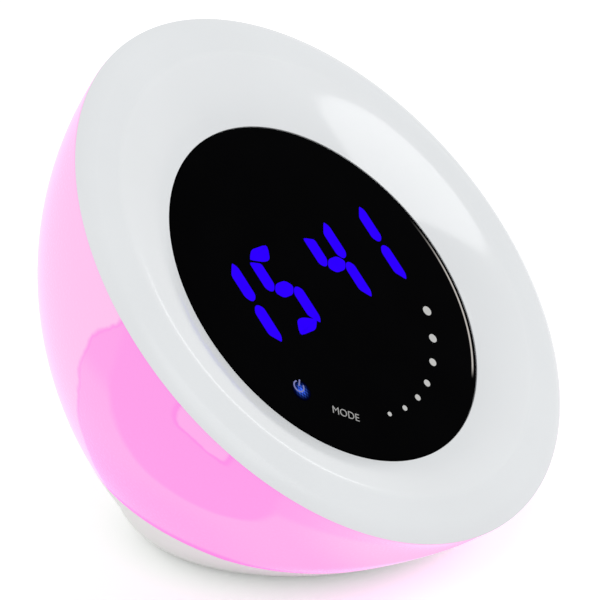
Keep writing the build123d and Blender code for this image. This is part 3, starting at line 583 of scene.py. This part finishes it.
def base_material(looks, face):
    """Satin plastic with a fine spark-eroded grain, with painted shade that darkens it towards the foot."""
    material, wire, feed = new_material("satin_base")
    fine = wire.noise(2600.0, detail=2.0)
    broad = wire.noise(30.0, detail=2.0)
    # Painted shade: the base turns darker towards the foot, where the floor shades it, mixed with random
    # tone.
    unshaded = (wire.place()[2] / face.hinge.z).between(0.0, 0.35)
    tone = unshaded * 0.7 + broad * 0.3
    foot_shade = shade(looks.base, 0.86)
    feed(Base_Color=tone.mix(foot_shade, rgba(looks.base)), Roughness=0.42 + 0.12 * broad)
    feed(Normal=bump_of(wire, fine, strength=0.08, distance=0.05 * mm))
    return material


def board_material(name, shown):
    """Coated circuit board with lighter copper runs under the coat."""
    material, wire, feed = new_material(name)
    bricks = {"Vector": wire.point(), "Scale": 160.0, "Mortar Size": 0.06, "Mortar Smooth": 0.2}
    runs = wire.make("ShaderNodeTexBrick", "Fac", bricks)
    cloud = wire.noise(120.0)
    tone = (runs * 0.6 + cloud * 0.4).between(0.1, 0.9)
    over_copper = shade(shown, 1.5)
    feed(Base_Color=tone.mix(rgba(shown), over_copper), Roughness=0.35 + 0.1 * cloud)
    feed(Normal=bump_of(wire, runs, strength=0.1, distance=0.05 * mm))
    return material


def plain_material(name, shown, rough, metallic, grain, spread, relief):
    """A moulded or metal surface with fine changes of tone and roughness."""
    material, wire, feed = new_material(name)
    fine = wire.noise(grain)
    broad = wire.noise(grain / 30, detail=2.0)
    tone = (fine * 0.5 + broad * 0.5).between(0.3, 0.7)
    feed(Base_Color=toned(tone, shown, spread))
    feed(Roughness=rough + 0.12 * (broad - 0.5), Metallic=metallic)
    if relief:
        feed(Normal=bump_of(wire, fine, relief, distance=0.2 * mm))
    return material


def floor_material(settings):
    """Pale paper that looks white to the camera and keeps the object's shadow."""
    material, wire, feed = new_material("pale_floor")
    feed(Base_Color=toned(wire.noise(40.0), settings.paper, spread=0.004), Roughness=0.9)
    feed(Emission_Color=wire.seen().mix(black, white), Emission_Strength=settings.floor_light)
    return material


# Colour, roughness, metal, grain per metre, spread of tone and relief of the works, by their slot.
finishes = {
    "black_film": ((0.01, 0.01, 0.011), 0.5, 0, 700, 0.2, 0),
    "white_plastic": ((0.72, 0.72, 0.7), 0.45, 0, 900, 0.03, 0.1),
    "dark_plastic": ((0.02, 0.02, 0.022), 0.4, 0, 900, 0.2, 0.1),
    "chip_white": ((0.6, 0.58, 0.5), 0.35, 0, 1500, 0.08, 0),
    "clear_pipe": ((0.7, 0.75, 0.78), 0.12, 0, 600, 0.04, 0),
    "screw_steel": ((0.5, 0.5, 0.52), 0.3, 1, 2500, 0.12, 0.1),
    "can_aluminium": ((0.72, 0.73, 0.75), 0.28, 1, 2500, 0.08, 0.05),
    "ribbon_grey": ((0.42, 0.43, 0.44), 0.5, 0, 1400, 0.1, 0.1),
    "soft_rubber": ((0.035, 0.035, 0.035), 0.8, 0, 1800, 0.2, 0.3),
    "magnet_iron": ((0.3, 0.3, 0.31), 0.4, 1, 1600, 0.15, 0.1),
    "cone_black": ((0.015, 0.015, 0.015), 0.75, 0, 1800, 0.3, 0.3),
    "contact_brass": ((0.62, 0.48, 0.22), 0.3, 1, 2000, 0.1, 0.05),
    "cell_steel": ((0.62, 0.62, 0.63), 0.22, 1, 2200, 0.08, 0.05),
}


def start_clean():
    """Leave edit mode and drop the selection, so that a new piece starts alone."""
    if bpy.context.object and bpy.context.object.mode != "OBJECT":
        bpy.ops.object.mode_set(mode="OBJECT")
    bpy.ops.object.select_all(action="DESELECT")


def ring_skin(name, rings, corners):
    """Draw the first ring and extrude it through the others."""
    start_clean()
    centre, turn, radius = rings[0]
    bpy.ops.mesh.primitive_circle_add(
        vertices=corners, radius=radius, location=centre, rotation=(turn, 0, 0), enter_editmode=True
    )
    bpy.context.object.name = name
    for next_centre, next_turn, next_radius in rings[1:]:
        bpy.ops.mesh.extrude_region_move()
        share = next_radius / radius
        bpy.ops.transform.resize(value=(share, share, share), center_override=centre)
        if next_turn != turn:
            bpy.ops.transform.rotate(value=turn - next_turn, orient_axis="X", center_override=centre)
        bpy.ops.transform.translate(value=next_centre - centre)
        centre, turn, radius = next_centre, next_turn, next_radius


def bridge_ends():
    """Join the two open edges of a skin."""
    bpy.ops.mesh.select_all(action="DESELECT")
    bpy.ops.mesh.select_mode(type="EDGE")
    bpy.ops.mesh.select_non_manifold()
    bpy.ops.mesh.bridge_edge_loops()


def settle(smooth_angle):
    """Weld the piece, turn its faces outwards and fix its place."""
    bpy.ops.mesh.select_mode(type="VERT")
    bpy.ops.mesh.select_all(action="SELECT")
    bpy.ops.mesh.remove_doubles(threshold=weld)
    bpy.ops.mesh.normals_make_consistent(inside=False)
    bpy.ops.object.mode_set(mode="OBJECT")
    bpy.ops.object.transform_apply(location=True, rotation=True, scale=True)
    bpy.ops.object.shade_smooth_by_angle(angle=smooth_angle)
    piece = bpy.context.object
    if not piece.data.polygons:
        raise RuntimeError(f"{piece.name} came out empty")
    return piece


def finish(piece, material):
    """Give a piece one material in place of any it had."""
    piece.data.materials.clear()
    piece.data.materials.append(material)


def dress(piece, material, slot, *nodes):
    """Give a modelled piece its look and its body, and hide the CAD parts it replaces; its slot is not used.
    """
    finish(piece, material)
    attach(piece, "clock")
    if nodes:
        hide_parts(*nodes)


def thicken(height, rounding=0.0):
    """Round the corners of a flat mark and raise it from the lens."""
    bpy.ops.mesh.select_all(action="SELECT")
    if rounding:
        bpy.ops.mesh.bevel(offset=rounding, segments=mark_corner_steps, affect="VERTICES")
        bpy.ops.mesh.select_all(action="SELECT")
    bpy.ops.mesh.extrude_region_move(TRANSFORM_OT_translate={"value": (0, 0, height)})
    bpy.ops.object.mode_set(mode="OBJECT")
    bpy.ops.object.transform_apply(location=True, rotation=True, scale=True)
    return bpy.context.object


def flat_plate(width, height, thick, rounding, cuts=()):
    """A thin plate, cut by lines: each has a point, in half sizes, and the way to clear."""
    start_clean()
    bpy.ops.mesh.primitive_plane_add(size=1.0, enter_editmode=True)
    bpy.ops.transform.resize(value=(width, height, 1.0), center_override=(0, 0, 0))
    for point, side in cuts:
        bpy.ops.mesh.select_all(action="SELECT")
        bpy.ops.mesh.bisect(
            plane_co=(point[0] * width / 2, point[1] * height / 2, 0),
            plane_no=(side[0], side[1], 0),
            clear_outer=True,
            threshold=weld,
        )
    return thicken(thick, rounding)


def flat_disc(radius, thick, corners):
    """A thin round mark."""
    start_clean()
    bpy.ops.mesh.primitive_circle_add(vertices=corners, radius=radius, fill_type="NGON", enter_editmode=True)
    return thicken(thick)


def copy_of(pattern, place, scale=(1.0, 1.0, 1.0), turn=0.0):
    """A copy of a flat mark with its own mesh, at a place on the lens plane."""
    start_clean()
    pattern.select_set(True)
    bpy.context.view_layer.objects.active = pattern
    bpy.ops.object.duplicate(linked=False)
    copy = bpy.context.object
    copy.location = (place[0], place[1], 0)
    copy.scale = scale
    copy.rotation_euler = (0, 0, turn)
    bpy.ops.object.transform_apply(location=True, rotation=True, scale=True)
    return copy


def lay_on_lens(name, marks, face, patterns=()):
    """Join flat marks, drop their patterns and lay them on the lens."""
    for pattern in patterns:
        bpy.data.objects.remove(pattern)
    start_clean()
    for mark in marks:
        mark.select_set(True)
    bpy.context.view_layer.objects.active = marks[0]
    if len(marks) > 1:
        bpy.ops.object.join()
    joined = bpy.context.object
    joined.name = name
    bpy.ops.object.transform_apply(location=True, rotation=True, scale=True)
    joined.location = face.lens_centre
    joined.rotation_euler = (face.turn, 0, 0)
    bpy.ops.object.mode_set(mode="EDIT")
    return settle(mark_smooth)


class CLOCK_OT_bowl(bpy.types.Operator):
    """Model the glowing bowl between the face and the base seam"""

    bl_idname = "clock.bowl"
    bl_label = "Glowing bowl"

    def execute(self, context):
        sizes = context.scene.clock_sizes
        face = Face(sizes)
        top = face.centre + face.up * face.radius
        back = face.hinge + Vector((0, sizes.chin_run + 2 * sizes.seam_radius, 0))
        chord = back - top
        inward = Vector((0, chord.z, -chord.y)).normalized()
        middle = (top + back) / 2 + inward * sqrt(sizes.back_radius**2 - chord.length_squared / 4)

        def bowl_ring(share, inset):
            swing = face.turn * (1 - share)
            out = Vector((0, cos(swing), sin(swing)))
            near = sizes.chin_gap + (sizes.chin_run - sizes.chin_gap) * share
            arm = face.hinge - middle
            reach = arm.dot(out)
            far = sqrt(reach**2 - arm.length_squared + sizes.back_radius**2) - reach
            return face.hinge + out * (near + far) / 2, swing, (far - near) / 2 - inset

        def skirt_ring(share, inset):
            height = sizes.foot_lift + (sizes.seam_height - sizes.foot_lift) * share
            lead = (sizes.seam_lead + sizes.foot_setback) * share - sizes.foot_setback
            radius = sizes.foot_radius + (sizes.seam_radius - sizes.foot_radius) * share
            belly = 4 * sizes.base_belly * share * (1 - share)
            return Vector((0, -lead, height)), 0.0, radius + belly - inset

        bowl_shares = [step / bowl_steps for step in range(bowl_steps + 1)]
        skirt_shares = [step / skirt_steps for step in range(skirt_steps)]
        rings = [bowl_ring(share, 0) for share in bowl_shares]
        rings += [skirt_ring(share, 0) for share in reversed(skirt_shares)]
        rings += [skirt_ring(share, sizes.lap_skin) for share in skirt_shares]
        rings += [bowl_ring(share, sizes.wall) for share in reversed(bowl_shares)]
        ring_skin("glowing_bowl", rings, round_corners)
        bridge_ends()
        bpy.ops.mesh.select_all(action="SELECT")
        bpy.ops.mesh.bisect(
            plane_co=face.lap_point, plane_no=face.lap_normal, clear_inner=True, threshold=weld
        )
        bridge_ends()
        bowl = settle(bowl_smooth)
        dress(bowl, bowl_material(context.scene.clock_looks, sizes, face), "lit_dome", "dome_diffuser")
        return {"FINISHED"}


class CLOCK_OT_bezel(bpy.types.Operator):
    """Model the dished white ring round the lens"""

    bl_idname = "clock.bezel"
    bl_label = "Bezel ring"

    def execute(self, context):
        sizes = context.scene.clock_sizes
        face = Face(sizes)
        crest = face.radius - sizes.crest_inset
        seat = face.lens_radius + sizes.lens_fit
        ledge = -sizes.lens_recess - sizes.ledge_drop
        collar_end = ledge - sizes.ledge_thickness
        opening = face.lens_radius - sizes.ledge_width
        collar = face.lens_radius + sizes.collar_wall
        plug = face.radius - sizes.wall - sizes.plug_gap
        plug_end = -sizes.plug_depth
        drop = sizes.lens_drop
        rings = [(face.radius - sizes.rim_groove, 0, 0)]
        for step in range(bezel_steps + 1):
            share = 1 - step / bezel_steps
            fall = (sizes.shoulder_height - sizes.rim_groove) * share**2
            rings.append((face.radius - sizes.shoulder_inset * (1 - share), sizes.shoulder_height - fall, 0))
        dish_width = crest - seat
        dish_depth = sizes.crest_height + sizes.lens_recess
        rings.append((crest + sizes.crest_round, sizes.crest_height, 0))
        for step in range(1, bezel_steps + 1):
            share = step / bezel_steps
            fall = dish_depth * share * (1 - sizes.dish_swell * (1 - share))
            rings.append((crest - dish_width * share, sizes.crest_height - fall, drop * share))
        rings += [(seat, ledge, drop), (opening, ledge, drop), (opening, collar_end, drop)]
        rings += [(collar, collar_end, drop), (collar, plug_end, drop), (plug, plug_end, 0), (plug, 0, 0)]
        ring_skin("bezel_ring", [face.ring(*ring) for ring in rings], round_corners)
        bridge_ends()
        bezel = settle(bezel_smooth)
        dress(bezel, bezel_material(context.scene.clock_looks, sizes, face), "white_gloss", "face_bezel")
        return {"FINISHED"}


class CLOCK_OT_lens(bpy.types.Operator):
    """Model the round dark lens with its stepped edge"""

    bl_idname = "clock.lens"
    bl_label = "Lens"

    def execute(self, context):
        sizes = context.scene.clock_sizes
        face = Face(sizes)
        start_clean()
        body = sizes.lens_thickness - sizes.lens_step
        bpy.ops.mesh.primitive_cylinder_add(
            vertices=round_corners,
            radius=face.lens_radius,
            depth=body,
            location=face.lens_centre - face.normal * (sizes.lens_step + body / 2),
            rotation=(face.turn, 0, 0),
        )
        lens = bpy.context.object
        lens.name = "dark_lens"
        for polygon in lens.data.polygons:
            polygon.select = polygon.normal.z > 0.5
        bpy.ops.object.mode_set(mode="EDIT")
        bpy.ops.mesh.select_mode(type="FACE")
        bpy.ops.mesh.inset(thickness=sizes.lens_border)
        bpy.ops.mesh.extrude_region_move(TRANSFORM_OT_translate={"value": face.normal * sizes.lens_step})
        share = 1 - sizes.lens_bevel / (face.lens_radius - sizes.lens_border)
        bpy.ops.transform.resize(value=(share, share, share), center_override=face.lens_centre)
        lens = settle(lens_smooth)
        dress(lens, lens_material(context.scene.clock_looks, sizes, face), "dark_lens", "display_lens")
        return {"FINISHED"}


def lens_marks(scene):
    """What each mark on the lens needs: the sizes, the colours and the face."""
    return scene.clock_marks, scene.clock_looks, Face(scene.clock_sizes)


class CLOCK_OT_digits(bpy.types.Operator):
    """Model the lit strokes of the time on the lens"""

    bl_idname = "clock.digits"
    bl_label = "Digits"

    def execute(self, context):
        marks, looks, face = lens_marks(context.scene)
        outer_end = [((0.35, 1), (-1, 0.9)), ((0.5, 1), (1, 0.65))]
        inner_end = [((-0.3, -1), (-1, -0.8)), ((0.35, -1), (1, -0.95))]
        under_level = [((0.6, 1), (-0.4, 1))]
        level_ends = [((0.4, -1), (1, -0.6)), ((-0.5, 1), (-0.9, 1))]
        level_ends += [((-0.1, -1), (-0.4, -1)), ((0.72, 1), (1, 0.55))]
        middle_ends = [((x, 0), (x, y)) for x in (-1, 1) for y in (-0.9, 0.9)]
        thick, rounding = marks.proud, marks.stroke_round
        upright = flat_plate(marks.stroke, marks.upright, thick, rounding, outer_end + inner_end)
        short = flat_plate(marks.stroke, marks.short_upright, thick, rounding, under_level + inner_end)
        level = flat_plate(marks.level, marks.level_stroke, thick, marks.level_round, level_ends)
        middle = flat_plate(marks.middle, marks.level_stroke, thick, marks.level_round, middle_ends)
        places = {
            "a": (level, marks.level_shift, marks.level_lift, (1, 1, 1)),
            "b": (upright, 0, marks.upright_lift, (1, 1, 1)),
            "c": (upright, 0, -marks.upright_lift, (1, -1, 1)),
            "d": (level, marks.level_shift, -marks.level_lift, (-1, -1, 1)),
            "f": (short, -marks.width, marks.short_lift, (-1, 1, 1)),
            "g": (middle, -marks.width / 2, 0, (1, 1, 1)),
        }
        second = marks.first + marks.pitch
        third = second + marks.pair_gap
        shown = ((marks.first, "bc"), (second, "afgcd"), (third, "fgbc"), (third + marks.pitch, "bc"))
        strokes = []
        for right, lit in shown:
            for letter in lit:
                pattern, x, y, scale = places[letter]
                place = (right + x + y * sin(marks.slant), y + marks.lift)
                strokes.append(copy_of(pattern, place, scale, -marks.slant))
        digits = lay_on_lens("digit_strokes", strokes, face, [upright, short, level, middle])
        dress(digits, lit_material("lit_digits", looks.digits, spread=0.12), "blue_light")
        return {"FINISHED"}


class CLOCK_OT_slider(bpy.types.Operator):
    """Model the growing row of dots of the touch slider"""

    bl_idname = "clock.slider"
    bl_label = "Slider dots"

    def execute(self, context):
        marks, looks, face = lens_marks(context.scene)
        pattern = flat_disc(marks.dot_first, marks.proud, dot_corners)
        dots = []
        for step, bearing in enumerate(slider_bearings):
            x = marks.slider_place[0] + marks.slider_radius * cos(radians(bearing))
            y = marks.slider_place[1] + marks.slider_radius * sin(radians(bearing))
            size = 1 - (1 - marks.dot_last / marks.dot_first) * step / (len(slider_bearings) - 1)
            dots.append(copy_of(pattern, (x, y), (size, size, 1.0)))
        slider = lay_on_lens("slider_dots", dots, face, [pattern])
        dress(slider, lit_material("pale_dots", looks.ink, spread=0.08), "board_white")
        return {"FINISHED"}


class CLOCK_OT_power(bpy.types.Operator):
    """Model the power mark: a blue glow with an open ring and a bar"""

    bl_idname = "clock.power"
    bl_label = "Power mark"

    def execute(self, context):
        marks, looks, face = lens_marks(context.scene)
        disc = flat_disc(marks.glow_radius, marks.proud / 2, glow_corners)
        glow = lay_on_lens("power_glow", [copy_of(disc, marks.glow_place)], face, [disc])
        dress(glow, glow_material(looks, marks, face), "blue_light")
        start_clean()
        bpy.ops.mesh.primitive_plane_add(
            size=marks.power_stroke, location=(marks.power_radius, 0, 0), enter_editmode=True
        )
        # One edge across the stroke is kept and spun round into the open ring.
        bpy.ops.mesh.delete(type="ONLY_FACE")
        bpy.ops.mesh.select_all(action="DESELECT")
        bpy.ops.object.mode_set(mode="OBJECT")
        ring = bpy.context.object
        for edge in ring.data.edges:
            ends = [ring.data.vertices[index].co for index in edge.vertices]
            edge.select = all(end.y < 0 for end in ends)
        bpy.ops.object.mode_set(mode="EDIT")
        bpy.ops.mesh.select_mode(type="EDGE")
        bpy.ops.mesh.select_all(action="INVERT")
        bpy.ops.mesh.delete(type="EDGE")
        bpy.ops.mesh.select_all(action="SELECT")
        swept = 2 * pi - marks.power_opening
        bpy.ops.mesh.spin(steps=sign_steps, angle=swept, center=(0, 0, 0), axis=(0, 0, 1))
        ring = thicken(marks.proud)
        bar = flat_plate(marks.power_stroke, marks.power_bar, marks.proud, marks.power_round)
        turn = marks.power_turn
        across, up = marks.power_place
        bar_place = (across + marks.power_lift * cos(turn), up + marks.power_lift * sin(turn))
        pieces = [
            copy_of(ring, marks.power_place, turn=turn - marks.power_opening / 2),
            copy_of(bar, bar_place, turn=turn - pi / 2),
        ]
        sign = lay_on_lens("power_sign", pieces, face, [ring, bar])
        dress(sign, lit_material("pale_sign", looks.sign, spread=0.1), "board_white")
        return {"FINISHED"}


class CLOCK_OT_label(bpy.types.Operator):
    """Write the touch key's label on the lens"""

    bl_idname = "clock.label"
    bl_label = "Key label"

    def execute(self, context):
        marks, looks, face = lens_marks(context.scene)
        start_clean()
        bpy.ops.object.text_add()
        text = bpy.context.object.data
        text.body = "MODE"
        text.size = marks.letter
        text.offset = marks.letter_thin
        text.align_x = "CENTER"
        text.align_y = "CENTER"
        text.extrude = marks.proud / 2
        bpy.ops.object.convert(target="MESH")
        label = bpy.context.object
        label.location = (*marks.label_place, marks.proud / 2)
        label.rotation_euler = (0, 0, marks.label_turn)
        label = lay_on_lens("mode_label", [label], face)
        dress(label, lit_material("pale_label", looks.label, spread=0.1), "board_white")
        return {"FINISHED"}


class CLOCK_OT_base(bpy.types.Operator):
    """Finish the base cap and its battery door"""

    bl_idname = "clock.base"
    bl_label = "Base"

    def execute(self, context):
        material = base_material(context.scene.clock_looks, Face(context.scene.clock_sizes))
        for name in ("base_cap", "battery_door"):
            finish(frame["nodes"][name], material)
        return {"FINISHED"}


class CLOCK_OT_works(bpy.types.Operator):
    """Finish the feet, screws, boards and other works by their slot in the record"""

    bl_idname = "clock.works"
    bl_label = "Works"

    def execute(self, context):
        looks = context.scene.clock_looks
        materials = {slot: plain_material(slot, *values) for slot, values in finishes.items()}
        for slot in ("board_green", "board_white"):
            materials[slot] = board_material(slot, getattr(looks, slot))
        materials["blue_light"] = lit_material("blue_light", looks.digits, spread=0.12)
        for part in frame["record"]["subparts"]:
            if part["material_slot"] in materials:
                finish(frame["nodes"][part["node"]], materials[part["material_slot"]])
        return {"FINISHED"}


def toward(bearing, rise):
    """The direction at a bearing from the front to the right and a rise from level."""
    return Vector((sin(bearing) * cos(rise), -cos(bearing) * cos(rise), sin(rise)))


def aim_back(direction):
    """The turn of a lamp or camera that looks back along its direction."""
    return (-direction).to_track_quat("-Z", "Y").to_euler()


class CLOCK_OT_stage(bpy.types.Operator):
    """Set the floor, the soft light and the camera"""

    bl_idname = "clock.stage"
    bl_label = "Stage"

    def execute(self, context):
        settings = context.scene.clock_stage
        face = Face(context.scene.clock_sizes)
        start_clean()
        bpy.ops.mesh.primitive_plane_add(size=settings.floor_size)
        floor = bpy.context.object
        floor.name = "floor"
        finish(floor, floor_material(settings))
        world = bpy.data.worlds.new("studio")
        context.scene.world = world
        world.use_nodes = True
        background = world.node_tree.nodes["Background"]
        background.inputs["Color"].default_value = white
        strength = settings.daylight + (1 - settings.daylight) * Wire(world.node_tree).seen()
        world.node_tree.links.new(strength.socket, background.inputs["Strength"])
        for name in ("key", "dish", "crease"):
            way, size, watts = [getattr(settings, f"{name}_{part}") for part in ("way", "size", "power")]
            direction = toward(*way)
            bpy.ops.object.light_add(type="AREA", location=face.centre + direction * settings.lamp_distance)
            lamp = bpy.context.object
            lamp.name = f"{name}_light"
            lamp.data.shape = "ELLIPSE"
            lamp.data.size, lamp.data.size_y = size
            lamp.data.energy = watts
            lamp.rotation_euler = aim_back(direction)
        direction = toward(*settings.camera_way)
        bpy.ops.object.camera_add(location=face.centre + direction * settings.camera_distance)
        camera = bpy.context.object
        camera.rotation_euler = aim_back(direction)
        camera.data.lens = settings.camera_lens
        camera.data.shift_x, camera.data.shift_y = settings.camera_shift
        context.scene.camera = camera
        context.scene.view_settings.view_transform = "Standard"
        return {"FINISHED"}


groups = {
    "clock_sizes": ClockSizes,
    "clock_marks": ClockMarks,
    "clock_looks": ClockLooks,
    "clock_stage": ClockStage,
}
operators = (
    CLOCK_OT_bowl,
    CLOCK_OT_bezel,
    CLOCK_OT_lens,
    CLOCK_OT_digits,
    CLOCK_OT_slider,
    CLOCK_OT_power,
    CLOCK_OT_label,
    CLOCK_OT_base,
    CLOCK_OT_works,
    CLOCK_OT_stage,
)


class CLOCK_PT_pieces(bpy.types.Panel):
    """Sizes, looks and pieces of the clock"""

    bl_label = "Mood lamp alarm clock"
    bl_space_type = "VIEW_3D"
    bl_region_type = "UI"
    bl_category = "Clock"

    def draw(self, context):
        for group, kind in groups.items():
            column = self.layout.column(align=True)
            for key in kind.__annotations__:
                column.prop(getattr(context.scene, group), key)
        for operator in operators:
            self.layout.operator(operator.bl_idname)


def register():
    for kind in (*groups.values(), *operators, CLOCK_PT_pieces):
        bpy.utils.register_class(kind)
    for group, kind in groups.items():
        setattr(bpy.types.Scene, group, PointerProperty(type=kind))


def unregister():
    for group in groups:
        delattr(bpy.types.Scene, group)
    for kind in (CLOCK_PT_pieces, *operators, *groups.values()):
        bpy.utils.unregister_class(kind)


def main():
    register()
    bpy.ops.clock.bowl()
    bpy.ops.clock.bezel()
    bpy.ops.clock.lens()
    bpy.ops.clock.digits()
    bpy.ops.clock.slider()
    bpy.ops.clock.power()
    bpy.ops.clock.label()
    bpy.ops.clock.base()
    bpy.ops.clock.works()
    bpy.ops.clock.stage()


if __name__ == "__main__":
    main()
